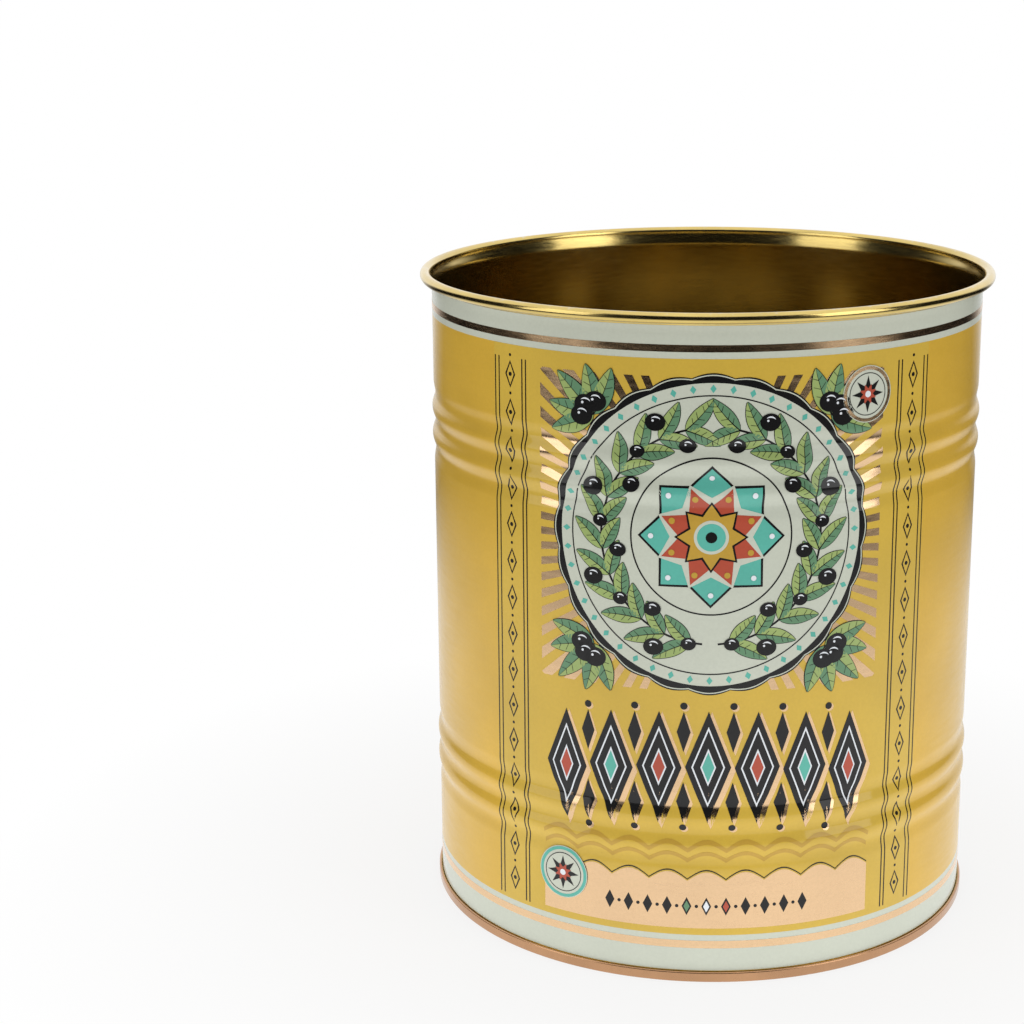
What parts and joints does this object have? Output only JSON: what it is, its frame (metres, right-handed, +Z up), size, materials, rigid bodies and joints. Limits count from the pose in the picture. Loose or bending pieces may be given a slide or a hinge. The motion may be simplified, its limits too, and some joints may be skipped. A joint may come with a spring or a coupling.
{
  "type": "open storage tin",
  "caption": "Round open storage tin of printed sheet metal with rolled rim, rolled beads, lapped side seam and double-seamed base.",
  "frame": {"origin": "centre of the foot circle, on the surface that the tin stands on", "axes": "+Z up along the tin's axis, -Y towards the printed front, +Y towards the side seam"},
  "size_m": [0.1407, 0.1408, 0.16],
  "materials": {
    "printed_tinplate": "glossy printed inks outside, gold lacquer inside",
    "gold_lacquered_tinplate": "gold lacquer over fine rolling grain",
    "sealing_compound": "matt"
  },
  "bodies": {
    "root": {"body_shell": "printed_tinplate", "base_end": "gold_lacquered_tinplate", "seam_compound": "sealing_compound"}
  },
  "joints": []
}
